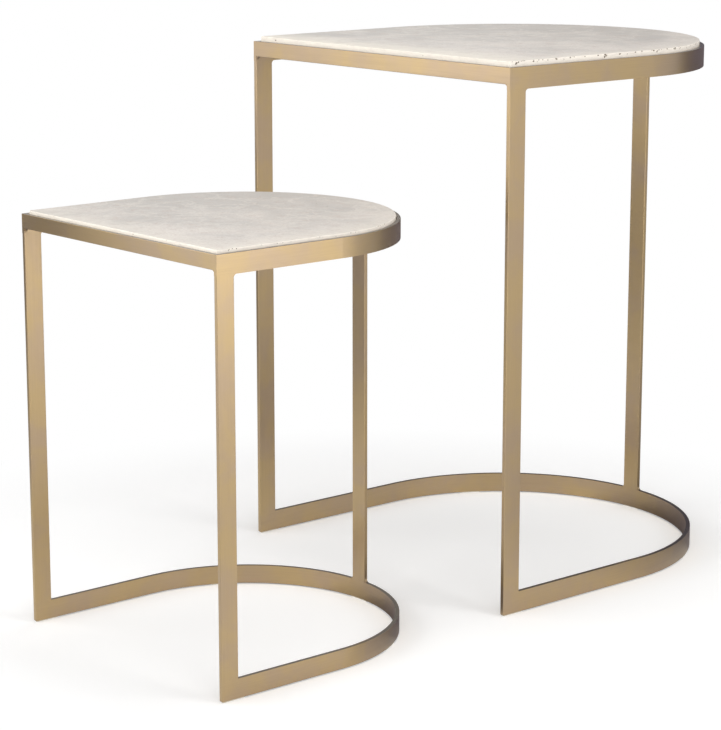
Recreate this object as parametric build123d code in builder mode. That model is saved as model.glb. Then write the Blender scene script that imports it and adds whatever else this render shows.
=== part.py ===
import math
import os
from dataclasses import dataclass

from build123d import *

# Two D-shaped nesting tables: stone tops set in welded flat-bar frames, the small one drawn out.
# Millimetres. X runs along the straight fronts, Y from the fronts to the round backs, Z up from the floor.

# Large table, over the bars and to the top of the stone
large_width = 460.0
large_side = 232.0
large_height = 642.0

# Room round the small table when it stands inside the large one with the fronts in line
nest_side_gap = 46.0
nest_back_gap = 112.0
nest_top_gap = 137.5

# Where the small table stands drawn out: its back to the large front, and its shift along the front
drawn_gap = 79.0
drawn_shift = 70.0

# Flat bar of each frame, its long edges and its toes rounded
large_bar_width = 25.0
large_bar_thickness = 5.0
small_bar_width = 22.0
small_bar_thickness = 4.5
bar_edge_radius = 0.6
foot_radius = 2.0

# Weld beads in the inside corners, with a hollow face
weld_leg = 4.5
weld_throat = 1.35

# Stone slabs, each standing a little above its rim
large_stone_thickness = 18.0
large_stone_proud = 6.0
small_stone_thickness = 13.0
small_stone_proud = 3.5
stone_gap = 0.8
stone_edge_radius = 0.8

# Tabs welded inside the rim, and the clear bumpers that bed the stone on them
tab_width = 25.0
tab_reach = 22.0
tab_thickness = 3.0
tab_cover = 3.0
tab_angle = 45.0
bumper_diameter = 12.0
bumper_thickness = 1.0

# Glide strips under the base hoop
glide_length = 28.0
glide_inset = 0.5
glide_thickness = 1.0
glide_angle = 60.0


def rail_height(stone_thickness, stone_proud):
    """Height of a front rail that hides the sunk part of the stone, the bumpers and the tabs."""
    return stone_thickness - stone_proud + bumper_thickness + tab_thickness + tab_cover


# Small table, which passes between the front legs and under the front rail of the large one
large_depth = large_side + large_width / 2
large_rail_bottom = large_height - large_stone_proud - rail_height(large_stone_thickness, large_stone_proud)
small_width = large_width - 2 * (large_bar_thickness + nest_side_gap)
small_depth = large_depth - large_bar_thickness - nest_back_gap
small_side = small_depth - small_width / 2
small_height = large_rail_bottom - nest_top_gap

# The origin is on the floor under the middle of the drawn-out set
drawn_distance = small_depth + drawn_gap
left_end = min(-large_width / 2, drawn_shift - small_width / 2)
right_end = max(large_width / 2, drawn_shift + small_width / 2)
large_middle = -(left_end + right_end) / 2
large_front = (drawn_distance - large_depth) / 2


@dataclass
class Table:
    """Outside sizes of one table, and the floor point at the middle of its front."""

    name: str
    width: float
    side: float
    height: float
    middle: float
    front: float
    bar_width: float
    bar_thickness: float
    stone_thickness: float
    stone_proud: float

    def __post_init__(self):
        self.half = self.width / 2
        self.inner = self.half - self.bar_thickness
        self.rim_top = self.height - self.stone_proud
        self.rim_bottom = self.rim_top - self.bar_width
        self.rail_height = rail_height(self.stone_thickness, self.stone_proud)
        self.rail_bottom = self.rim_top - self.rail_height
        self.stone_bottom = self.height - self.stone_thickness
        self.tab_top = self.stone_bottom - bumper_thickness
        self.hoop_top = glide_thickness + self.bar_width

    def level(self, z):
        """Level plane at height z, over the middle of the front."""
        return Plane((self.middle, self.front, z), x_dir=(1, 0, 0), z_dir=(0, 0, 1))

    def upright(self, y):
        """Plane that faces the front from y behind it, with Y up."""
        return Plane((self.middle, self.front + y, 0), x_dir=(1, 0, 0), z_dir=(0, -1, 0))

    def sideways(self, x):
        """Plane along the sides at x from the middle, with X to the back and Y up."""
        return Plane((self.middle + x, self.front, 0), x_dir=(0, 1, 0), z_dir=(1, 0, 0))

    def on_curve(self, radius, angle, turn):
        """Place on the round back, at an angle from the middle of it, turned from the radius."""
        x = radius * math.sin(math.radians(angle))
        y = self.side + radius * math.cos(math.radians(angle))
        return Location((x, y, 0), (0, 0, 90 - angle + turn))


def d_outline(table, inset, front):
    """Closed D, drawn in by an inset: straight front and sides, half-circle back."""
    half = table.half - inset
    with BuildLine() as outline:
        Polyline((half, table.side), (half, front), (-half, front), (-half, table.side))
        ThreePointArc((-half, table.side), (0, table.side + half), (half, table.side))
    return outline.line


def weld_outline(corner, across, up):
    """Section of a weld bead in an inside corner, with the signs of its two legs."""
    x, y = corner
    foot = (x + across * weld_leg, y)
    head = (x, y + up * weld_leg)
    with BuildLine() as outline:
        Polyline(head, corner, foot)
        ThreePointArc(foot, (x + across * weld_throat, y + up * weld_throat), head)
    return outline.line


def tab_places(table):
    """Places on the inner face of the rim and the front rail, each looking inwards."""
    places = [Location((x, table.bar_thickness, 0), (0, 0, 90)) for x in (-table.half / 2, table.half / 2)]
    places.append(Location((-table.inner, table.side / 2, 0), (0, 0, 0)))
    places.append(Location((table.inner, table.side / 2, 0), (0, 0, 180)))
    places += [table.on_curve(table.inner, angle, 180) for angle in (-tab_angle, tab_angle)]
    return places


def glide_places(table):
    """Places along the base hoop, each lying along the bar."""
    middle = table.half - table.bar_thickness / 2
    first = foot_radius + glide_length / 2
    places = [Location((x, first, 0), (0, 0, 90)) for x in (-middle, middle)]
    places += [table.on_curve(middle, angle, 90) for angle in (-glide_angle, 0, glide_angle)]
    return places


def make_stone_top(table):
    edge = table.bar_thickness + stone_gap
    with BuildPart() as stone:
        with BuildSketch(table.level(table.stone_bottom)):
            make_face(d_outline(table, edge, edge))
        extrude(amount=table.stone_thickness)
        fillet(stone.faces().sort_by(Axis.Z)[-1].edges(), radius=stone_edge_radius)
    return stone


def make_rim_band(table):
    """Flat bar on edge, bent round the sides and back, with its upper edges rolled."""
    with BuildPart() as band:
        with BuildSketch(table.level(table.rim_bottom)):
            make_face(d_outline(table, 0, 0))
            make_face(d_outline(table, table.bar_thickness, 0), mode=Mode.SUBTRACT)
        extrude(amount=table.bar_width)
        upper = band.edges().group_by(Axis.Z)[-1]
        fillet(upper.filter_by(Axis.X, reverse=True), radius=bar_edge_radius)
    return band


def make_front_rail(table):
    """Straight bar between the ends of the rim band, welded to it below at both ends."""
    with BuildPart() as rail:
        with BuildSketch(table.upright(0)):
            with Locations((0, table.rim_top)):
                Rectangle(2 * table.inner, table.rail_height, align=(Align.CENTER, Align.MAX))
        extrude(amount=-table.bar_thickness)
        fillet(rail.edges().filter_by(Axis.X), radius=bar_edge_radius)
        with BuildSketch(table.upright(bar_edge_radius)):
            for sign in (-1, 1):
                make_face(weld_outline((sign * table.inner, table.rail_bottom), -sign, -1))
        extrude(amount=2 * bar_edge_radius - table.bar_thickness)
    return rail


def make_front_leg(table, outside):
    """Bar from the base hoop to the rim band, in line with both, welded behind its top."""
    with BuildPart() as leg:
        with BuildSketch(table.sideways(outside)):
            with Locations((0, table.hoop_top)):
                Rectangle(table.bar_width, table.rim_bottom - table.hoop_top, align=(Align.MIN, Align.MIN))
        extrude(amount=table.bar_thickness)
        fillet(leg.edges().filter_by(Axis.Z), radius=bar_edge_radius)
        with BuildSketch(table.sideways(outside + bar_edge_radius)):
            make_face(weld_outline((table.bar_width, table.rim_bottom), 1, -1))
        extrude(amount=table.bar_thickness - 2 * bar_edge_radius)
    return leg


def make_left_leg(table):
    return make_front_leg(table, -table.half)


def make_right_leg(table):
    return make_front_leg(table, table.inner)


def make_back_leg(table):
    """Bar across the middle of the round back, welded at its four inside corners."""
    half_bar = table.bar_width / 2
    outer = table.side + math.sqrt(table.half**2 - (half_bar + weld_leg) ** 2)
    with BuildPart() as leg:
        with BuildSketch(table.upright(outer)):
            with Locations((0, table.hoop_top)):
                Rectangle(table.bar_width, table.rim_bottom - table.hoop_top, align=(Align.CENTER, Align.MIN))
        extrude(amount=table.bar_thickness)
        fillet(leg.edges().filter_by(Axis.Z), radius=bar_edge_radius)
        with BuildSketch(table.upright(outer - bar_edge_radius)):
            for sign in (-1, 1):
                make_face(weld_outline((sign * half_bar, table.hoop_top), sign, 1))
                make_face(weld_outline((sign * half_bar, table.rim_bottom), sign, -1))
        extrude(amount=table.bar_thickness - 2 * bar_edge_radius)
    return leg


def make_base_hoop(table):
    """Flat bar on edge like the rim, with the toes rounded and the lower edges rolled."""
    with BuildPart() as hoop:
        with BuildSketch(table.level(glide_thickness)):
            make_face(d_outline(table, 0, 0))
            make_face(d_outline(table, table.bar_thickness, 0), mode=Mode.SUBTRACT)
        extrude(amount=table.bar_width)
        lower = hoop.edges().group_by(Axis.Z)[0]
        fillet(lower.filter_by(Axis.X), radius=foot_radius)
        lower = hoop.edges().group_by(Axis.Z)[0]
        fillet(lower.filter_by(Axis.X, reverse=True), radius=bar_edge_radius)
    return hoop


def make_support_tabs(table):
    with BuildPart() as tabs:
        with BuildSketch(table.level(table.tab_top - tab_thickness)):
            with Locations(*tab_places(table)):
                Rectangle(2 * tab_reach, tab_width)
            make_face(d_outline(table, table.bar_thickness, table.bar_thickness), mode=Mode.INTERSECT)
        extrude(amount=tab_thickness)
    return tabs


def make_bumpers(table):
    with BuildPart() as bumpers:
        with BuildSketch(table.level(table.tab_top)):
            with Locations(*tab_places(table)):
                with Locations((tab_reach / 2, 0)):
                    Circle(bumper_diameter / 2)
        extrude(amount=bumper_thickness)
    return bumpers


def make_floor_glides(table):
    with BuildPart() as glides:
        with BuildSketch(table.level(0)):
            with Locations(*glide_places(table)):
                Rectangle(glide_length, 2 * table.bar_thickness)
            make_face(d_outline(table, glide_inset, 0), mode=Mode.INTERSECT)
            make_face(d_outline(table, table.bar_thickness - glide_inset, 0), mode=Mode.SUBTRACT)
        extrude(amount=glide_thickness)
    return glides


makers = {
    "stone_top": make_stone_top,
    "rim_band": make_rim_band,
    "front_rail": make_front_rail,
    "left_leg": make_left_leg,
    "right_leg": make_right_leg,
    "back_leg": make_back_leg,
    "base_hoop": make_base_hoop,
    "support_tabs": make_support_tabs,
    "top_bumpers": make_bumpers,
    "floor_glides": make_floor_glides,
}

large = Table(
    name="large",
    width=large_width,
    side=large_side,
    height=large_height,
    middle=large_middle,
    front=large_front,
    bar_width=large_bar_width,
    bar_thickness=large_bar_thickness,
    stone_thickness=large_stone_thickness,
    stone_proud=large_stone_proud,
)
small = Table(
    name="small",
    width=small_width,
    side=small_side,
    height=small_height,
    middle=large_middle + drawn_shift,
    front=large_front - drawn_distance,
    bar_width=small_bar_width,
    bar_thickness=small_bar_thickness,
    stone_thickness=small_stone_thickness,
    stone_proud=small_stone_proud,
)

os.makedirs("parts", exist_ok=True)
for table in (large, small):
    for piece, make in makers.items():
        node = f"{table.name}_{piece}"
        made = make(table)
        made.part.label = node
        export_step(made.part, f"parts/{node}.step")
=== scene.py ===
"""Nesting tables: two travertine tops in antique-brass flat-bar frames, the small one drawn out."""

import math
import random

import bmesh
import bpy
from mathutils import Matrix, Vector
from mathutils.geometry import delaunay_2d_cdt


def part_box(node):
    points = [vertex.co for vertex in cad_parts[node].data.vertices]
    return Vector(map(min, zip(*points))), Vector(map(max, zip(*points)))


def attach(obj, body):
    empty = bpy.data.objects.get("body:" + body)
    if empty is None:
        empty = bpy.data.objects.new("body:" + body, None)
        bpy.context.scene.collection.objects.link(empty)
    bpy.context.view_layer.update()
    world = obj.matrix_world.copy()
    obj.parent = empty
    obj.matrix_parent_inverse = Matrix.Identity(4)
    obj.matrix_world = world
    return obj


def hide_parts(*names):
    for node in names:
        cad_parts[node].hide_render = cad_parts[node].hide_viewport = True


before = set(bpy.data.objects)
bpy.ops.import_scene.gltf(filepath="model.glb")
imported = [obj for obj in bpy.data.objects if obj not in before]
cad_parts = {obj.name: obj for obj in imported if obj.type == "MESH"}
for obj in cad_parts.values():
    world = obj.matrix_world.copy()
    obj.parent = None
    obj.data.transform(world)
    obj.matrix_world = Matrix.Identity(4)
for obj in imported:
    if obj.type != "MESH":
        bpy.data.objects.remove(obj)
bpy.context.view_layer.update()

MM = 0.001

# Sockets of Blender's Mix node when it mixes colours
MIX_FACTOR = 0
MIX_FIRST = 6
MIX_SECOND = 7
MIX_RESULT = 2


def linear(hex_colour):
    """sRGB hex to the linear RGBA that Blender's sockets take."""
    channels = [int(hex_colour[i : i + 2], 16) / 255 for i in (1, 3, 5)]
    curve = [c / 12.92 if c <= 0.04045 else ((c + 0.055) / 1.055) ** 2.4 for c in channels]
    return (*curve, 1.0)


def per_metre(size_mm):
    """Texture scale that repeats a pattern once in a size given in millimetres."""
    return 1000 / size_mm


def add_node(tree, kind, values=None, links=None, **settings):
    """Adds a node: settings on it, values on its sockets, and links from other sockets."""
    node = tree.nodes.new(kind)
    for name, setting in settings.items():
        setattr(node, name, setting)
    for socket, value in (values or {}).items():
        node.inputs[socket].default_value = value
    for socket, source in (links or {}).items():
        tree.links.new(source, node.inputs[socket])
    return node


def empty_material(name):
    """Material with an empty node tree, and that tree."""
    material = bpy.data.materials.new(name)
    material.use_nodes = True
    material.node_tree.nodes.clear()
    return material, material.node_tree


def new_material(name):
    """Material with one shader, its node tree and that shader."""
    material, tree = empty_material(name)
    shader = add_node(tree, "ShaderNodeBsdfPrincipled")
    add_node(tree, "ShaderNodeOutputMaterial", links={"Surface": shader.outputs["BSDF"]})
    return material, tree, shader


# Materials


def honed_travertine():
    """Cream travertine, cut along its bed and honed.

    To the eye: soft clouds of cream, grey and a little pink, with painted light that pales the right front
    and greys the back left, hair-fine pale seams, pin pores in patches, pits darkened by dirt and painted
    shade, a cut edge pale with chalk and painted light, palest at the front, painted light reaching in
    over the honed face, and a dull satin shine at a low angle.
    """
    # Sizes in millimetres
    cloud_size = 75
    patch_size = 15
    seam_size = 70
    grain_size = 2.4
    grain_depth = 0.15
    pore_spacing = 3.2
    # The bed is level, so every pattern is squeezed up the slab. Painted light falls off across the slab,
    # paler at its right front corner and greyer towards its back left, and adds to its greyness
    layer_squeeze = 3.5
    painted_falloff_weight = 0.55
    material, tree, shader = new_material("honed_travertine")
    place = add_node(tree, "ShaderNodeTexCoord").outputs["Object"]
    bed = add_node(
        tree,
        "ShaderNodeMapping",
        values={"Scale": (1, 1, layer_squeeze)},
        links={"Vector": place},
    ).outputs["Vector"]
    clouds = add_node(
        tree,
        "ShaderNodeTexNoise",
        values={"Scale": per_metre(cloud_size), "Detail": 6, "Roughness": 0.6, "Distortion": 0.4},
        links={"Vector": bed},
    )
    patches = add_node(
        tree,
        "ShaderNodeTexNoise",
        values={"Scale": per_metre(patch_size), "Detail": 6, "Roughness": 0.65, "Distortion": 0.5},
        links={"Vector": bed},
    )
    grain = add_node(
        tree,
        "ShaderNodeTexNoise",
        values={"Scale": per_metre(grain_size), "Detail": 3, "Roughness": 0.6},
        links={"Vector": bed},
    )
    seam_noise = add_node(
        tree,
        "ShaderNodeTexNoise",
        values={"Scale": per_metre(seam_size), "Detail": 5, "Roughness": 0.6, "Distortion": 0.3},
        links={"Vector": bed},
    )
    pores = add_node(
        tree,
        "ShaderNodeTexVoronoi",
        values={"Scale": per_metre(pore_spacing)},
        links={"Vector": bed},
    )

    # Painted light: the slab is paler at its right front corner and greyer towards its back left
    painted_falloff = add_node(tree, "ShaderNodeAttribute", attribute_name="painted_falloff")
    greyness = add_node(
        tree,
        "ShaderNodeMath",
        values={1: painted_falloff_weight},
        links={0: painted_falloff.outputs["Fac"], 2: clouds.outputs["Fac"]},
        operation="MULTIPLY_ADD",
    )
    grey_share = add_node(
        tree,
        "ShaderNodeMapRange",
        values={"From Min": 0.5, "From Max": 0.98},
        links={"Value": greyness.outputs["Value"]},
        interpolation_type="SMOOTHSTEP",
    )
    ground = add_node(
        tree,
        "ShaderNodeMix",
        values={MIX_FIRST: linear("#eee7e0"), MIX_SECOND: linear("#cdc9c4")},
        links={MIX_FACTOR: grey_share.outputs["Result"]},
        data_type="RGBA",
    )
    blush_share = add_node(
        tree,
        "ShaderNodeMapRange",
        values={"From Min": 0.5, "From Max": 0.72, "To Max": 0.5},
        links={"Value": patches.outputs["Fac"]},
        interpolation_type="SMOOTHSTEP",
    )
    blushed = add_node(
        tree,
        "ShaderNodeMix",
        values={MIX_SECOND: linear("#d3c3ba")},
        links={MIX_FACTOR: blush_share.outputs["Result"], MIX_FIRST: ground.outputs[MIX_RESULT]},
        data_type="RGBA",
    )
    seam_height = add_node(
        tree,
        "ShaderNodeMath",
        values={1: 0.5},
        links={0: seam_noise.outputs["Fac"]},
        operation="SUBTRACT",
    )
    seam_distance = add_node(
        tree,
        "ShaderNodeMath",
        links={0: seam_height.outputs["Value"]},
        operation="ABSOLUTE",
    )
    seam_share = add_node(
        tree,
        "ShaderNodeMapRange",
        values={"From Min": 0.0, "From Max": 0.03, "To Min": 0.5, "To Max": 0.0},
        links={"Value": seam_distance.outputs["Value"]},
    )
    seamed = add_node(
        tree,
        "ShaderNodeMix",
        values={MIX_SECOND: linear("#f3ede5")},
        links={MIX_FACTOR: seam_share.outputs["Result"], MIX_FIRST: blushed.outputs[MIX_RESULT]},
        data_type="RGBA",
    )
    grain_share = add_node(
        tree,
        "ShaderNodeMapRange",
        values={"From Min": 0.35, "From Max": 0.7, "To Max": 0.48},
        links={"Value": grain.outputs["Fac"]},
    )
    grained = add_node(
        tree,
        "ShaderNodeMix",
        values={MIX_SECOND: linear("#c2b8ae")},
        links={MIX_FACTOR: grain_share.outputs["Result"], MIX_FIRST: seamed.outputs[MIX_RESULT]},
        data_type="RGBA",
    )
    pore_core = add_node(
        tree,
        "ShaderNodeMapRange",
        values={"From Min": 0.1, "From Max": 0.2, "To Min": 1.0, "To Max": 0.0},
        links={"Value": pores.outputs["Distance"]},
    )
    pore_patch = add_node(
        tree,
        "ShaderNodeMapRange",
        values={"From Min": 0.52, "From Max": 0.62},
        links={"Value": patches.outputs["Fac"]},
    )
    pore_share = add_node(
        tree,
        "ShaderNodeMath",
        links={0: pore_core.outputs["Result"], 1: pore_patch.outputs["Result"]},
        operation="MULTIPLY",
    )
    pored = add_node(
        tree,
        "ShaderNodeMix",
        values={MIX_SECOND: linear("#a2937f")},
        links={MIX_FACTOR: pore_share.outputs["Value"], MIX_FIRST: grained.outputs[MIX_RESULT]},
        data_type="RGBA",
    )
    # Chalk of the cut edge, with painted light: the front edge, and the honed face in from the front and
    # along the right side, are painted paler
    chalk_and_painted_light = add_node(tree, "ShaderNodeAttribute", attribute_name="chalk_and_painted_light")
    broken = add_node(
        tree,
        "ShaderNodeMapRange",
        values={"From Min": 0.35, "From Max": 0.65, "To Min": 1.0, "To Max": 0.65},
        links={"Value": patches.outputs["Fac"]},
    )
    chalk_and_light_share = add_node(
        tree,
        "ShaderNodeMath",
        links={0: chalk_and_painted_light.outputs["Fac"], 1: broken.outputs["Result"]},
        operation="MULTIPLY",
    )
    chalk_and_lit = add_node(
        tree,
        "ShaderNodeMix",
        values={MIX_SECOND: linear("#fcf4e6")},
        links={MIX_FACTOR: chalk_and_light_share.outputs["Value"], MIX_FIRST: pored.outputs[MIX_RESULT]},
        data_type="RGBA",
    )
    # Pits are darker with dirt and painted shade, more so the deeper they go
    hollow = add_node(tree, "ShaderNodeAttribute", attribute_name="hollow")
    pit_darkened = add_node(
        tree,
        "ShaderNodeMix",
        values={MIX_SECOND: linear("#6f6150")},
        links={MIX_FACTOR: hollow.outputs["Fac"], MIX_FIRST: chalk_and_lit.outputs[MIX_RESULT]},
        data_type="RGBA",
    )
    satin = add_node(
        tree,
        "ShaderNodeMapRange",
        values={"From Min": 0.3, "From Max": 0.7, "To Min": 0.42, "To Max": 0.58},
        links={"Value": patches.outputs["Fac"]},
    )
    relief = add_node(
        tree,
        "ShaderNodeMath",
        links={0: grain.outputs["Fac"], 1: grain.outputs["Fac"]},
        operation="MULTIPLY",
    )
    sunk = add_node(
        tree,
        "ShaderNodeMath",
        links={0: relief.outputs["Value"], 1: pore_share.outputs["Value"]},
        operation="SUBTRACT",
    )
    bump = add_node(
        tree,
        "ShaderNodeBump",
        values={"Strength": 0.35, "Distance": grain_depth * MM},
        links={"Height": sunk.outputs["Value"]},
    )
    shader.inputs["IOR"].default_value = 1.5
    shader.inputs["Specular IOR Level"].default_value = 0.35
    tree.links.new(pit_darkened.outputs[MIX_RESULT], shader.inputs["Base Color"])
    tree.links.new(satin.outputs["Result"], shader.inputs["Roughness"])
    tree.links.new(bump.outputs["Normal"], shader.inputs["Normal"])
    return material


def brushed_brass_plate(name, stretch):
    """Steel flat bar, brass plated, brushed along its length and toned down to an antique shade.

    To the eye: a soft tan metal without sharp reflections, drawn out in fine lines along the bar,
    with a faint cloud of browner and yellower patina, painted shade that darkens level faces such as
    the narrow edges of the bent bars, and a clear lacquer that greys it where little is
    mirrored.
    """
    # Sizes in millimetres. Real brush lines, 0.1 mm apart, would not show, so they are drawn coarser
    line_spacing = 0.9
    line_length = 70
    line_depth = 0.03
    patina_size = 60
    material, tree, shader = new_material(name)
    place = add_node(tree, "ShaderNodeTexCoord").outputs["Object"]
    drawn = [per_metre(line_length if along else line_spacing) for along in stretch]
    brush_place = add_node(
        tree,
        "ShaderNodeMapping",
        values={"Scale": drawn},
        links={"Vector": place},
    )
    lines = add_node(
        tree,
        "ShaderNodeTexNoise",
        values={"Scale": 1.0, "Detail": 4, "Roughness": 0.65},
        links={"Vector": brush_place.outputs["Vector"]},
    )
    patina = add_node(
        tree,
        "ShaderNodeTexNoise",
        values={"Scale": per_metre(patina_size), "Detail": 4, "Roughness": 0.55, "Distortion": 0.4},
        links={"Vector": place},
    )
    patina_share = add_node(
        tree,
        "ShaderNodeMapRange",
        values={"From Min": 0.34, "From Max": 0.66},
        links={"Value": patina.outputs["Fac"]},
        interpolation_type="SMOOTHSTEP",
    )
    toned = add_node(
        tree,
        "ShaderNodeMix",
        values={MIX_FIRST: linear("#ab9267"), MIX_SECOND: linear("#a48d70")},
        links={MIX_FACTOR: patina_share.outputs["Result"]},
        data_type="RGBA",
    )
    line_share = add_node(
        tree,
        "ShaderNodeMapRange",
        values={"From Min": 0.3, "From Max": 0.75, "To Max": 0.22},
        links={"Value": lines.outputs["Fac"]},
    )
    brushed = add_node(
        tree,
        "ShaderNodeMix",
        values={MIX_SECOND: linear("#8c795a")},
        links={MIX_FACTOR: line_share.outputs["Result"], MIX_FIRST: toned.outputs[MIX_RESULT]},
        data_type="RGBA",
    )
    # Painted shade: level faces, such as the narrow edges of the bent bars, are darkened
    facing = add_node(
        tree,
        "ShaderNodeSeparateXYZ",
        links={0: add_node(tree, "ShaderNodeNewGeometry").outputs["Normal"]},
    )
    level = add_node(
        tree,
        "ShaderNodeMath",
        links={0: facing.outputs["Z"]},
        operation="ABSOLUTE",
    )
    level_face_shade = add_node(
        tree,
        "ShaderNodeMapRange",
        values={"From Min": 0.5, "From Max": 0.9, "To Max": 0.9},
        links={"Value": level.outputs["Value"]},
    )
    level_face_shaded = add_node(
        tree,
        "ShaderNodeMix",
        values={MIX_SECOND: linear("#463b2e")},
        links={MIX_FACTOR: level_face_shade.outputs["Result"], MIX_FIRST: brushed.outputs[MIX_RESULT]},
        data_type="RGBA",
    )
    satin = add_node(
        tree,
        "ShaderNodeMapRange",
        values={"From Min": 0.3, "From Max": 0.7, "To Min": 0.3, "To Max": 0.4},
        links={"Value": lines.outputs["Fac"]},
    )
    bump = add_node(
        tree,
        "ShaderNodeBump",
        values={"Strength": 0.2, "Distance": line_depth * MM},
        links={"Height": lines.outputs["Fac"]},
    )
    shader.inputs["Metallic"].default_value = 1.0
    shader.inputs["Coat Weight"].default_value = 0.8
    shader.inputs["Coat Roughness"].default_value = 0.3
    tree.links.new(level_face_shaded.outputs[MIX_RESULT], shader.inputs["Base Color"])
    tree.links.new(satin.outputs["Result"], shader.inputs["Roughness"])
    tree.links.new(bump.outputs["Normal"], shader.inputs["Normal"])
    return material


def moulded_silicone():
    """Clear soft silicone, moulded in dots: a milky see-through drop with a dull skin."""
    # Sizes in millimetres
    skin_size = 1.5
    skin_depth = 0.05
    material, tree, shader = new_material("moulded_silicone")
    place = add_node(tree, "ShaderNodeTexCoord").outputs["Object"]
    skin = add_node(
        tree,
        "ShaderNodeTexNoise",
        values={"Scale": per_metre(skin_size), "Detail": 2},
        links={"Vector": place},
    )
    milk = add_node(
        tree,
        "ShaderNodeMix",
        values={MIX_FIRST: linear("#f1f1ec"), MIX_SECOND: linear("#e2e3dc")},
        links={MIX_FACTOR: skin.outputs["Fac"]},
        data_type="RGBA",
    )
    bump = add_node(
        tree,
        "ShaderNodeBump",
        values={"Strength": 0.1, "Distance": skin_depth * MM},
        links={"Height": skin.outputs["Fac"]},
    )
    shader.inputs["IOR"].default_value = 1.41
    shader.inputs["Roughness"].default_value = 0.35
    shader.inputs["Transmission Weight"].default_value = 0.7
    tree.links.new(milk.outputs[MIX_RESULT], shader.inputs["Base Color"])
    tree.links.new(bump.outputs["Normal"], shader.inputs["Normal"])
    return material


def cut_nylon():
    """Natural nylon strip, extruded and cut: off-white, waxy, with fine scuffs from the floor."""
    # Sizes in millimetres
    scuff_size = 4
    scuff_depth = 0.05
    material, tree, shader = new_material("cut_nylon")
    place = add_node(tree, "ShaderNodeTexCoord").outputs["Object"]
    scuffs = add_node(
        tree,
        "ShaderNodeTexNoise",
        values={"Scale": per_metre(scuff_size), "Detail": 5, "Roughness": 0.7},
        links={"Vector": place},
    )
    scuffed = add_node(
        tree,
        "ShaderNodeMix",
        values={MIX_FIRST: linear("#e6e2d6"), MIX_SECOND: linear("#cfc9ba")},
        links={MIX_FACTOR: scuffs.outputs["Fac"]},
        data_type="RGBA",
    )
    waxy = add_node(
        tree,
        "ShaderNodeMapRange",
        values={"To Min": 0.4, "To Max": 0.65},
        links={"Value": scuffs.outputs["Fac"]},
    )
    bump = add_node(
        tree,
        "ShaderNodeBump",
        values={"Strength": 0.2, "Distance": scuff_depth * MM},
        links={"Height": scuffs.outputs["Fac"]},
    )
    shader.inputs["IOR"].default_value = 1.53
    tree.links.new(scuffed.outputs[MIX_RESULT], shader.inputs["Base Color"])
    tree.links.new(waxy.outputs["Result"], shader.inputs["Roughness"])
    tree.links.new(bump.outputs["Normal"], shader.inputs["Normal"])
    return material


# Stone tops: slabs with broken arrises and open pits

STONE_CORNER = 2.2 * MM
STONE_ARRIS = 0.8 * MM
STONE_UNDER_CHAMFER = 0.4 * MM
ARRIS_STEPS = 4
TOP_STRIP = (1.1 * MM, 1.5 * MM, 2.0 * MM)
EDGE_ROW = 0.55 * MM
EDGE_STEP = 4 * MM
EDGE_STEP_LEAST = 0.05 * MM
FILL_STEP = 14 * MM
FILL_TOLERANCE = 1e-7
FACE_TOLERANCE = 0.008 * MM

# Pits in the cut edge
EDGE_CLUSTER_SPACING = {"large": 15 * MM, "small": 20 * MM}
FRONT_CLUSTER_SPACING = 100 * MM
CLUSTER_SPACING_SPREAD = (0.3, 1.8)
EDGE_CLUSTER_COUNTS = (1, 1, 2, 3, 5)
EDGE_CLUSTER_REACH = 7 * MM
EDGE_PIT = {"large": (0.6 * MM, 1.8 * MM), "small": (0.4 * MM, 1.0 * MM)}
EDGE_PIT_FLATNESS = (0.45, 0.8)
EDGE_PIT_DEPTH = (0.5 * MM, 1.1 * MM)
EDGE_PIT_DOWN_SHARE = 0.7
EDGE_PIT_ONTO_TOP = 0.8 * MM
EDGE_PIT_STEPS = 3
EDGE_PIT_STEEPNESS = 2.4
# Depth at which an edge pit is darkest with dirt and painted shade
FULL_PIT_DARKNESS = 0.6 * MM

# Pits in the honed face, with radius as least, most and usual, and depth and steps as shares
TOP_CLUSTER_SPACING = 60 * MM
TOP_CLUSTER_COUNTS = (1, 2, 2, 3, 4)
TOP_CLUSTER_SPREAD = 9 * MM
TOP_PIT_MARGIN = 5 * MM
TOP_PIT_APART = 4 * MM
TOP_PIT_RADIUS = (0.4 * MM, 1.5 * MM, 0.6 * MM)
TOP_PIT_FLATNESS = (0.5, 0.9)
TOP_PIT_DEPTH = (0.6, 1.0)
TOP_PIT_CORNERS = (7, 10)
TOP_PIT_UNEVENNESS = 0.3
TOP_PIT_STEPS = ((0.82, 0.55), (0.45, 0.95))
TOP_PIT_FILL_GAP = 3

# Cut edges, pale with chalk and painted light and palest on the front, and painted light
# that reaches in over the honed face from the front and along the right side
FRONT_EDGE_CHALK_AND_LIGHT = 1.0
SIDE_EDGE_CHALK_AND_LIGHT = 0.75
FRONT_FACE_LIGHT = {"large": 1.0, "small": 0.4}
FRONT_FACE_LIGHT_REACH = {"large": 75 * MM, "small": 50 * MM}
SIDE_FACE_LIGHT = 0.5
SIDE_FACE_LIGHT_REACH = 45 * MM


def edge_distance(place, low, high):
    """How far a point of a D-shaped slab lies in from its edge."""
    half = (high.x - low.x) / 2
    centre = Vector(((low.x + high.x) / 2, high.y - half))
    if place.y > centre.y:
        return half - (place - centre).length
    return min(half - abs(place.x - centre.x), place.y - low.y)


def painted_face_light(table, place, low, high):
    """Painted light on the honed face: strong in from the front, and a little along the right side."""
    front = FRONT_FACE_LIGHT[table] * (1 - (place.y - low.y) / FRONT_FACE_LIGHT_REACH[table])
    to_right = (place.x - low.x) / (high.x - low.x)
    side = SIDE_FACE_LIGHT * to_right**2 * (1 - edge_distance(place, low, high) / SIDE_FACE_LIGHT_REACH)
    return max(0.0, front, side)


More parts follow.
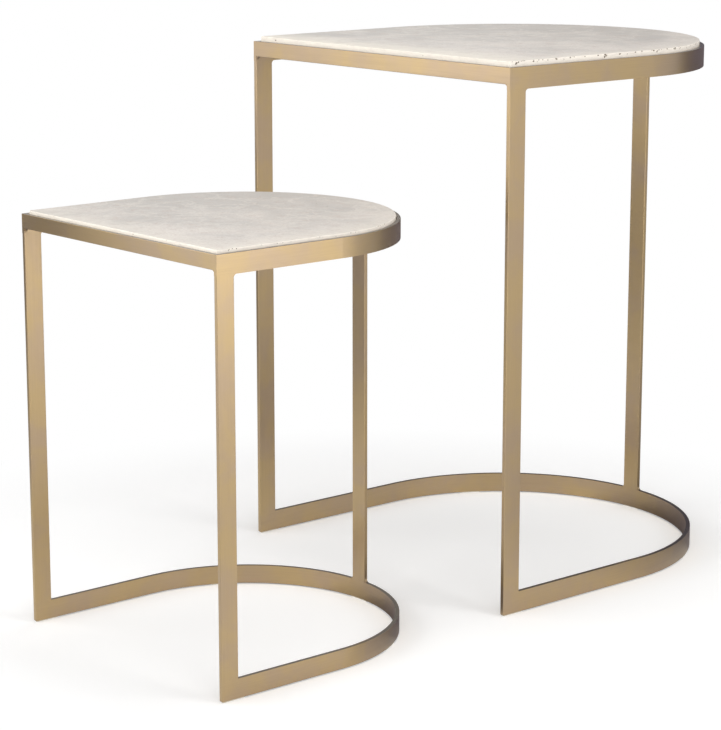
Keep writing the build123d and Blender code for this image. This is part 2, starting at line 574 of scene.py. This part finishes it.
def slab_runs(low, high):
    """Runs round a D-shaped slab from its left front corner, each with its length and bend radius."""
    half = (high.x - low.x) / 2
    front = (2 * (half - STONE_CORNER), 0)
    corner = (STONE_CORNER * math.pi / 2, STONE_CORNER)
    side = (high.y - half - low.y - STONE_CORNER, 0)
    back = (half * math.pi, half)
    return [front, corner, side, back, side, corner]


def edge_at(low, runs, walk):
    """Point on the slab's edge after a walk round it, and the level direction out of the slab."""
    point = Vector((low.x + STONE_CORNER, low.y))
    heading = 0.0
    for length, radius in runs:
        step = min(walk, length)
        if radius:
            turned = heading + step / radius
            point.x += radius * (math.sin(turned) - math.sin(heading))
            point.y += radius * (math.cos(heading) - math.cos(turned))
            heading = turned
        else:
            point += step * Vector((math.cos(heading), math.sin(heading)))
        walk -= step
        if walk <= 0:
            break
    return point, Vector((math.sin(heading), -math.cos(heading)))


def edge_profile(thickness, proud):
    """Rows up the slab's edge and onto its top: way along the profile, inset, drop and slope."""
    half_arc = STONE_ARRIS * math.pi / 4
    drops = [thickness - STONE_UNDER_CHAMFER, proud + EDGE_ROW]
    drop = proud
    while drop > STONE_ARRIS:
        drops.append(drop)
        drop -= EDGE_ROW
    rows = [(-math.inf, STONE_UNDER_CHAMFER, thickness, 0.0)]
    rows += [(STONE_ARRIS - drop - half_arc, 0.0, drop, 0.0) for drop in drops]
    for step in range(ARRIS_STEPS + 1):
        slope = math.pi / 2 * step / ARRIS_STEPS
        inset = STONE_ARRIS * (1 - math.cos(slope))
        drop = STONE_ARRIS * (1 - math.sin(slope))
        rows.append((STONE_ARRIS * slope - half_arc, inset, drop, slope))
    rows += [(inset - STONE_ARRIS + half_arc, inset, 0.0, math.pi / 2) for inset in TOP_STRIP]
    return rows


def edge_pits(table, front, around, proud, rng):
    """Pits that the saw cut has opened in the edge, in clusters and fewer along the filled front."""
    pits = []
    spacing = EDGE_CLUSTER_SPACING[table]
    walk = rng.uniform(0, FRONT_CLUSTER_SPACING)
    while walk < around - spacing / 2:
        for _ in range(rng.choice(EDGE_CLUSTER_COUNTS)):
            along = rng.uniform(*EDGE_PIT[table])
            across = along * rng.uniform(*EDGE_PIT_FLATNESS)
            pits.append({
                "walk": walk + rng.uniform(-EDGE_CLUSTER_REACH, EDGE_CLUSTER_REACH),
                "way": rng.triangular(-EDGE_PIT_DOWN_SHARE * proud, EDGE_PIT_ONTO_TOP, 0),
                "along": along,
                "across": across,
                "depth": rng.uniform(*EDGE_PIT_DEPTH),
            })
        walk += rng.uniform(*CLUSTER_SPACING_SPREAD) * (FRONT_CLUSTER_SPACING if walk < front else spacing)
    return pits


def pit_depth(pits, walk, way):
    """How far the pits sink the slab's edge at one point of it."""
    depth = 0.0
    for pit in pits:
        reach = math.hypot((walk - pit["walk"]) / pit["along"], (way - pit["way"]) / pit["across"])
        if reach < 1:
            depth = max(depth, pit["depth"] * min(1.0, EDGE_PIT_STEEPNESS * (1 - reach)))
    return depth


def top_pits(low, high, rng):
    """Open pits in the honed face, in clusters and clear of each other: ovals with uneven corners."""
    clusters = round((high.x - low.x) * (high.y - low.y) / TOP_CLUSTER_SPACING**2)
    pits = []
    for _ in range(clusters):
        heart = Vector((rng.uniform(low.x, high.x), rng.uniform(low.y, high.y)))
        for _ in range(rng.choice(TOP_CLUSTER_COUNTS)):
            place = heart + Vector((rng.gauss(0, TOP_CLUSTER_SPREAD), rng.gauss(0, TOP_CLUSTER_SPREAD)))
            radius = rng.triangular(*TOP_PIT_RADIUS)
            inside = edge_distance(place, low, high) > TOP_PIT_MARGIN
            apart = all((place - other["place"]).length > TOP_PIT_APART for other in pits)
            if inside and apart:
                pits.append(open_pit(place, radius, rng))
    return pits


def open_pit(place, radius, rng):
    """One pit: its rim of uneven points on an oval, and its depth."""
    corners = rng.randint(*TOP_PIT_CORNERS)
    flatness = rng.uniform(*TOP_PIT_FLATNESS)
    turn = rng.uniform(0, math.pi)
    across = Vector((math.cos(turn), math.sin(turn)))
    rim = []
    for corner in range(corners):
        uneven = rng.uniform(-TOP_PIT_UNEVENNESS, TOP_PIT_UNEVENNESS)
        angle = 2 * math.pi * (corner + uneven) / corners
        along = radius * math.cos(angle) * across
        rim.append(along + radius * flatness * math.sin(angle) * across.orthogonal())
    return {"place": place, "radius": radius, "rim": rim, "depth": rng.uniform(*TOP_PIT_DEPTH) * radius}


def fill_face(mesh, ring, height, pits, low, high):
    """Fills a level face of the slab inside its ring of vertices, leaving the pits' rims open."""
    corners = [vertex.co.xy for vertex in ring]
    owner = [None] * len(corners)
    edges = [(i, (i + 1) % len(ring)) for i in range(len(ring))]
    for index, pit in enumerate(pits):
        first = len(corners)
        count = len(pit["rim"])
        corners += [pit["place"] + offset for offset in pit["rim"]]
        owner += [index] * count
        edges += [(first + i, first + (i + 1) % count) for i in range(count)]
    across = round((high.x - low.x) / FILL_STEP)
    deep = round((high.y - low.y) / FILL_STEP)
    for column in range(across):
        for row in range(deep):
            shift = 0.5 * (row % 2)
            place = Vector((low.x + (column + shift) * FILL_STEP, low.y + row * FILL_STEP))
            inside = edge_distance(place, low, high) > FILL_STEP / 2
            gaps = [(place - pit["place"]).length / pit["radius"] for pit in pits]
            if inside and all(gap > TOP_PIT_FILL_GAP for gap in gaps):
                corners.append(place)
                owner.append(None)
    places, _, faces, sources, *_ = delaunay_2d_cdt(corners, edges, [], 0, FILL_TOLERANCE)
    vertices = []
    owners = []
    for place, source in zip(places, sources):
        first = source[0] if source else len(corners)
        inner = first >= len(ring)
        vertices.append(mesh.verts.new((*place, height)) if inner else ring[first])
        owners.append(owner[first] if source else None)
    for face in faces:
        pit_of_face = {owners[i] for i in face}
        if pit_of_face != {None} and len(pit_of_face) == 1:
            continue
        mesh.faces.new([vertices[i] for i in face])
    rims = [[] for _ in pits]
    for vertex, index in zip(vertices, owners):
        if index is not None:
            rims[index].append(vertex)
    return rims


def sink_pit(mesh, pit, rim):
    """Hangs a bowl under the rim of one pit: a steep wall, an uneven floor and a low point."""
    hollow = mesh.verts.layers.float["hollow"]
    centre = pit["place"]
    rim = sorted(rim, key=lambda v: math.atan2(v.co.y - centre.y, v.co.x - centre.x))
    upper = rim
    # Deeper rings and the low point get more dirt and painted shade
    for share, sunk in TOP_PIT_STEPS:
        lower = []
        for vertex in rim:
            level = centre.lerp(vertex.co.xy, share)
            made = mesh.verts.new((*level, vertex.co.z - sunk * pit["depth"]))
            made[hollow] = sunk
            lower.append(made)
        for i in range(len(rim)):
            j = (i + 1) % len(rim)
            mesh.faces.new((upper[i], upper[j], lower[j], lower[i]))
        upper = lower
    floor = mesh.verts.new((*centre, rim[0].co.z - pit["depth"]))
    floor[hollow] = 1.0
    for i in range(len(upper)):
        mesh.faces.new((upper[i], upper[(i + 1) % len(upper)], floor))


def edge_walks(around, pits):
    """Stations round the slab's edge: evenly spaced ones, and closer ones across each pit."""
    count = round(around / EDGE_STEP)
    walks = {i * around / count for i in range(count)}
    for pit in pits:
        steps = range(-EDGE_PIT_STEPS, EDGE_PIT_STEPS + 1)
        walks |= {pit["walk"] + pit["along"] * step / EDGE_PIT_STEPS for step in steps}
    walks = sorted(walk % around for walk in walks)
    return [a for a, b in zip(walks, walks[1:] + [around]) if b - a > EDGE_STEP_LEAST]


def raise_edge(mesh, low, high, proud, runs, pits):
    """Columns of vertices up the slab's edge and onto its top, one at each station, with their faces."""
    hollow = mesh.verts.layers.float["hollow"]
    chalk_and_painted_light = mesh.verts.layers.float["chalk_and_painted_light"]
    rows = edge_profile(high.z - low.z, proud)
    columns = []
    for walk in edge_walks(sum(length for length, radius in runs), pits):
        point, out = edge_at(low, runs, walk)
        near = [pit for pit in pits if abs(pit["walk"] - walk) < pit["along"]]
        column = []
        for row in rows:
            way, inset, drop, slope = row
            depth = 0.0 if row is rows[-1] else pit_depth(near, walk, way)
            level = point - out * (inset + depth * math.cos(slope))
            vertex = mesh.verts.new((*level, high.z - drop - depth * math.sin(slope)))
            # Edge pits get dirt and painted shade by their depth
            vertex[hollow] = min(1.0, depth / FULL_PIT_DARKNESS)
            # The cut edge is pale with chalk, and painted light makes it palest where it faces the front
            vertex[chalk_and_painted_light] = SIDE_EDGE_CHALK_AND_LIGHT + (FRONT_EDGE_CHALK_AND_LIGHT - SIDE_EDGE_CHALK_AND_LIGHT) * max(0.0, -out.y)
            column.append(vertex)
        columns.append(column)
    for this, following in zip(columns, columns[1:] + columns[:1]):
        for i in range(len(rows) - 1):
            mesh.faces.new((this[i], following[i], following[i + 1], this[i + 1]))
    return columns


def mark_painted_light(mesh, table, low, high):
    """Marks painted light: distance from the pale right front corner, and the painted light on the honed
    face.
    """
    painted_falloff = mesh.verts.layers.float["painted_falloff"]
    chalk_and_painted_light = mesh.verts.layers.float["chalk_and_painted_light"]
    for vertex in mesh.verts:
        # Painted light falls off from the right front corner: 0 there, rising towards the back left
        from_front = (vertex.co.y - low.y) / (high.y - low.y)
        from_right = (high.x - vertex.co.x) / (high.x - low.x)
        vertex[painted_falloff] = (from_front + from_right) / 2
        if vertex.co.z > high.z - FACE_TOLERANCE:
            vertex[chalk_and_painted_light] = painted_face_light(table, vertex.co.xy, low, high)


def make_stone_top(table, travertine, seed):
    """Travertine slab in place of the CAD one, with the same outline, thickness and height."""
    rng = random.Random(seed)
    low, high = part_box(f"{table}_stone_top")
    proud = high.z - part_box(f"{table}_rim_band")[1].z
    runs = slab_runs(low, high)
    around = sum(length for length, radius in runs)
    broken = edge_pits(table, runs[0][0], around, proud, rng)
    pits = top_pits(low, high, rng)

    mesh = bmesh.new()
    for mark in ("hollow", "chalk_and_painted_light", "painted_falloff"):
        mesh.verts.layers.float.new(mark)
    columns = raise_edge(mesh, low, high, proud, runs, broken)
    rims = fill_face(mesh, [column[-1] for column in columns], high.z, pits, low, high)
    for pit, rim in zip(pits, rims):
        sink_pit(mesh, pit, rim)
    fill_face(mesh, [column[0] for column in columns], low.z, [], low, high)
    bmesh.ops.recalc_face_normals(mesh, faces=mesh.faces)
    mark_painted_light(mesh, table, low, high)

    data = bpy.data.meshes.new(f"{table}_travertine_top")
    mesh.to_mesh(data)
    mesh.free()
    slab = bpy.data.objects.new(data.name, data)
    bpy.context.scene.collection.objects.link(slab)
    data.materials.append(travertine)
    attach(slab, f"{table}_table")
    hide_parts(f"{table}_stone_top")


# Dressing of both tables

SLAB_SEEDS = {"large": 2249, "small": 2079}
ALONG_FLOOR = (True, True, False)
ALONG_HEIGHT = (False, False, True)

travertine = honed_travertine()
brass_level = brushed_brass_plate("brushed_brass_plate_level", ALONG_FLOOR)
brass_upright = brushed_brass_plate("brushed_brass_plate_upright", ALONG_HEIGHT)
silicone = moulded_silicone()
nylon = cut_nylon()

frame_finish = {
    "rim_band": brass_level,
    "front_rail": brass_level,
    "left_leg": brass_upright,
    "right_leg": brass_upright,
    "back_leg": brass_upright,
    "base_hoop": brass_level,
    "support_tabs": brass_level,
    "top_bumpers": silicone,
    "floor_glides": nylon,
}
for table, seed in SLAB_SEEDS.items():
    make_stone_top(table, travertine, seed)
    for piece, finish in frame_finish.items():
        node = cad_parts[f"{table}_{piece}"]
        node.data.materials.clear()
        node.data.materials.append(finish)

# Floor, lamps and camera

# The floor shows its shadow as far out as FLOOR_CLEAR, and is plain white from FLOOR_WHITE on
FLOOR_RADIUS = 6.0
FLOOR_SIDES = 96
FLOOR_DROP = 0.1 * MM
FLOOR_CLEAR = 0.47
FLOOR_WHITE = 0.76
FLOOR_GLOW = 0.16
EVEN_LIGHT = 0.35
WHITE = "#ffffff"
LAMP_CENTRE = Vector((0.0, 0.0, 0.35))
CAMERA_AZIMUTH = math.radians(49.5323)
TO_RIGHT = Vector((math.cos(CAMERA_AZIMUTH), math.sin(CAMERA_AZIMUTH), 0))
TO_BACK = Vector((-math.sin(CAMERA_AZIMUTH), math.cos(CAMERA_AZIMUTH), 0))
UP = Vector((0, 0, 1))


def seen_share(tree):
    """Light Path factor for rays that show the background: straight, mirrored or let through."""
    path = add_node(tree, "ShaderNodeLightPath")
    mirrored = add_node(
        tree,
        "ShaderNodeMath",
        links={0: path.outputs["Is Camera Ray"], 1: path.outputs["Is Glossy Ray"]},
        operation="MAXIMUM",
    )
    through = add_node(
        tree,
        "ShaderNodeMath",
        links={0: mirrored.outputs["Value"], 1: path.outputs["Is Transmission Ray"]},
        operation="MAXIMUM",
    )
    return through.outputs["Value"]


def painted_floor():
    """Matt white studio floor: plain, with the tables' soft shadow, fading into the white background.

    It has no underside, so that a view from below shows the undersides of the tables.
    """
    material, tree = empty_material("painted_floor")
    place = add_node(tree, "ShaderNodeTexCoord").outputs["Object"]
    away = add_node(tree, "ShaderNodeVectorMath", links={0: place}, operation="LENGTH")
    fade = add_node(
        tree,
        "ShaderNodeMapRange",
        values={"From Min": FLOOR_CLEAR, "From Max": FLOOR_WHITE},
        links={"Value": away.outputs["Value"]},
        interpolation_type="SMOOTHSTEP",
    )
    matt = add_node(tree, "ShaderNodeBsdfDiffuse", values={"Color": linear("#fafafa")})
    glow = add_node(tree, "ShaderNodeEmission", values={"Color": linear(WHITE), "Strength": FLOOR_GLOW})
    lifted = add_node(tree, "ShaderNodeAddShader", links={0: matt.outputs[0], 1: glow.outputs[0]})
    white = add_node(tree, "ShaderNodeEmission", values={"Color": linear(WHITE), "Strength": 1.0})
    shown = add_node(
        tree,
        "ShaderNodeMixShader",
        links={0: fade.outputs["Result"], 1: lifted.outputs[0], 2: white.outputs[0]},
    )
    upside = add_node(
        tree,
        "ShaderNodeMixShader",
        links={0: seen_share(tree), 1: matt.outputs[0], 2: shown.outputs[0]},
    )
    underside = add_node(tree, "ShaderNodeBsdfTransparent")
    surface = add_node(
        tree,
        "ShaderNodeMixShader",
        links={
            0: add_node(tree, "ShaderNodeNewGeometry").outputs["Backfacing"],
            1: upside.outputs[0],
            2: underside.outputs[0],
        },
    )
    add_node(tree, "ShaderNodeOutputMaterial", links={"Surface": surface.outputs[0]})
    return material


def lay_floor():
    """Round floor, a hair below the glides so that their soles can be seen from below."""
    mesh = bmesh.new()
    bmesh.ops.create_circle(mesh, cap_ends=True, radius=FLOOR_RADIUS, segments=FLOOR_SIDES)
    data = bpy.data.meshes.new("studio_floor")
    mesh.to_mesh(data)
    mesh.free()
    floor = bpy.data.objects.new(data.name, data)
    data.materials.append(painted_floor())
    floor.location.z = -FLOOR_DROP
    bpy.context.scene.collection.objects.link(floor)


def light_surroundings():
    """World: white where it is seen, and a plain even light elsewhere."""
    world = bpy.data.worlds.new("studio_surroundings")
    world.use_nodes = True
    tree = world.node_tree
    tree.nodes.clear()
    even = add_node(tree, "ShaderNodeBackground", values={"Color": linear(WHITE), "Strength": EVEN_LIGHT})
    white = add_node(tree, "ShaderNodeBackground", values={"Color": linear(WHITE), "Strength": 1.0})
    surroundings = add_node(
        tree,
        "ShaderNodeMixShader",
        links={0: seen_share(tree), 1: even.outputs[0], 2: white.outputs[0]},
    )
    add_node(tree, "ShaderNodeOutputWorld", links={"Surface": surroundings.outputs[0]})
    bpy.context.scene.world = world


def in_studio(right, back, up):
    """Point in the row frame from metres to the right, back and up as the camera sees the tables."""
    return right * TO_RIGHT + back * TO_BACK + up * UP


def hang_softbox(name, place, width, height, radiance):
    """Soft lamp that looks at the tables, with its power worked out from its radiance and its size."""
    lamp = bpy.data.lights.new(name, "AREA")
    lamp.shape = "RECTANGLE"
    lamp.size = width
    lamp.size_y = height
    lamp.energy = radiance * math.pi * width * height
    softbox = bpy.data.objects.new(name, lamp)
    softbox.location = in_studio(*place)
    softbox.rotation_euler = (LAMP_CENTRE - softbox.location).to_track_quat("-Z", "Y").to_euler()
    softbox.visible_camera = False
    bpy.context.scene.collection.objects.link(softbox)


def dyed_felt(name, tone):
    """Felt of the studio flags: dull, darker than the floor, and see-through where it is thinned out."""
    material, tree = empty_material(name)
    weave = add_node(tree, "ShaderNodeAttribute", attribute_name="weave")
    felt = add_node(tree, "ShaderNodeBsdfDiffuse", values={"Color": linear(tone)})
    gaps = add_node(tree, "ShaderNodeBsdfTransparent")
    thinned = add_node(
        tree,
        "ShaderNodeMixShader",
        links={0: weave.outputs["Fac"], 1: gaps.outputs[0], 2: felt.outputs[0]},
    )
    add_node(tree, "ShaderNodeOutputMaterial", links={"Surface": thinned.outputs[0]})
    return material


def set_flag(name, felt, lower, upper, weave, shades=False):
    """Studio flag, hidden from the camera and seen only mirrored in the tables, which it darkens there.

    It is a strip between two rows of points, and weave gives how thick the felt is at each of them.
    One that shades keeps lamp light off as well.
    """
    data = bpy.data.meshes.new(name)
    count = len(lower)
    strip = [(i, i + 1, count + i + 1, count + i) for i in range(count - 1)]
    data.from_pydata([*lower, *upper], [], strip)
    thickness = data.attributes.new("weave", "FLOAT", "POINT")
    thickness.data.foreach_set("value", (*weave, *weave))
    data.materials.append(felt)
    flag = bpy.data.objects.new(name, data)
    flag.visible_camera = False
    flag.visible_diffuse = False
    flag.visible_transmission = False
    flag.visible_shadow = shades
    bpy.context.scene.collection.objects.link(flag)


def stand_flag(name, felt, right, back, foot, head, weave, shades=False):
    """Upright flag. At each of its stations it reaches from a foot up to a head."""
    lower = [in_studio(*point) for point in zip(right, back, foot)]
    upper = [in_studio(*point) for point in zip(right, back, head)]
    set_flag(name, felt, lower, upper, weave, shades)


FLAT_FLAG_LIFT = 0.5 * MM


def lay_flag(name, felt, right, front, back, weave):
    """Flag that lies on the floor. At each of its stations it reaches from a front to a back."""
    lower = [in_studio(*point, FLAT_FLAG_LIFT) for point in zip(right, front)]
    upper = [in_studio(*point, FLAT_FLAG_LIFT) for point in zip(right, back)]
    set_flag(name, felt, lower, upper, weave)


# Turns are degrees round the hoop from its near side, and reach is in its radii
HOOP_FLAG_TURNS = (60, 80, 95, 115, 130, 150)
HOOP_FLAG_WEAVE = (0, 0.7, 0.95, 0.85, 0.5, 0)
HOOP_FLAG_REACH = (0.3, 1.6)
HOOP_FLAG_LIFT = 0.7 * MM


def lay_hoop_flag(table, felt):
    """Felt on the floor round the right end of a hoop, where the bend mirrors the floor beside it."""
    low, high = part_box(f"{table}_base_hoop")
    radius = (high.x - low.x) / 2
    centre = Vector(((low.x + high.x) / 2, high.y - radius, HOOP_FLAG_LIFT))
    turns = [math.radians(turn) for turn in HOOP_FLAG_TURNS]
    outward = [math.sin(turn) * TO_RIGHT - math.cos(turn) * TO_BACK for turn in turns]
    inner, outer = [[centre + reach * radius * way for way in outward] for reach in HOOP_FLAG_REACH]
    set_flag(f"{table}_hoop_flag", felt, inner, outer, HOOP_FLAG_WEAVE)


CAMERA_PLACE = Vector((2.1785, -1.9069, 0.8939))
CAMERA_PITCH = math.radians(12.349)
FOCAL_PIXELS = 2448.3
IMAGE_LONG_SIDE = 730
SENSOR_WIDTH = 36.0
CAMERA_RANGE = 50.0


def place_camera():
    """Camera fitted to the edges of both tables in the photograph."""
    lens = bpy.data.cameras.new("photo_camera")
    lens.sensor_width = SENSOR_WIDTH
    lens.lens = SENSOR_WIDTH * FOCAL_PIXELS / IMAGE_LONG_SIDE
    lens.clip_end = CAMERA_RANGE
    camera = bpy.data.objects.new(lens.name, lens)
    camera.location = CAMERA_PLACE
    camera.rotation_euler = (math.pi / 2 - CAMERA_PITCH, 0, CAMERA_AZIMUTH)
    bpy.context.scene.collection.objects.link(camera)
    bpy.context.scene.camera = camera


lay_floor()
light_surroundings()
hang_softbox("left_softbox", place=(-2.35, -0.9, 1.1), width=3.2, height=2.0, radiance=2.15)
hang_softbox("right_softbox", place=(1.55, -1.15, 0.8), width=1.05, height=1.6, radiance=2.75)
hang_softbox("front_softbox", place=(0.0, -2.6, 1.6), width=2.4, height=1.8, radiance=1.9)
hang_softbox("top_softbox", place=(0.4, 0.4, 3.0), width=1.2, height=1.2, radiance=3.8)
slate_felt = dyed_felt("slate_felt", "#6e6a7a")
grey_felt = dyed_felt("grey_felt", "#82808a")
umber_felt = dyed_felt("umber_felt", "#5e5142")
stand_flag(
    "back_flag",
    slate_felt,
    right=(1.95, 0.54),
    back=(0.71, 1.89),
    foot=(0.0, 0.0),
    head=(1.6, 1.6),
    weave=(1, 1),
)
stand_flag(
    "far_flag",
    umber_felt,
    right=(0.54, 0.2, -1.2),
    back=(1.89, 1.95, 1.95),
    foot=(0.0, 0.0, 0.0),
    head=(1.6, 0.85, 0.85),
    weave=(1, 0.95, 0.95),
)
stand_flag(
    "left_flag",
    grey_felt,
    right=(-1.0, -0.85),
    back=(-0.14, 0.9),
    foot=(0.0, 0.0),
    head=(0.34, 0.66),
    weave=(0.85, 0.85),
)
stand_flag(
    "near_flag",
    slate_felt,
    right=(-0.66, -0.64, -0.63),
    back=(-0.31, -0.18, -0.09),
    foot=(0.34, 0.34, 0.34),
    head=(0.56, 0.56, 0.56),
    weave=(0, 1, 0.1),
    shades=True,
)
lay_flag(
    "floor_flag",
    grey_felt,
    right=(0.28, 0.48, 2.0, 3.6),
    front=(-0.2, -0.2, -0.2, -0.5),
    back=(1.8, 1.8, 1.8, 1.8),
    weave=(0, 0.75, 0.3, 1),
)
lay_flag(
    "middle_flag",
    grey_felt,
    right=(-0.05, 0.03, 0.1, 0.13),
    front=(-0.36, -0.36, -0.36, -0.36),
    back=(-0.06, -0.06, -0.06, -0.06),
    weave=(0, 0.45, 0.45, 0),
)
for table in SLAB_SEEDS:
    lay_hoop_flag(table, slate_felt)
place_camera()

bpy.context.scene.view_settings.view_transform = "Standard"
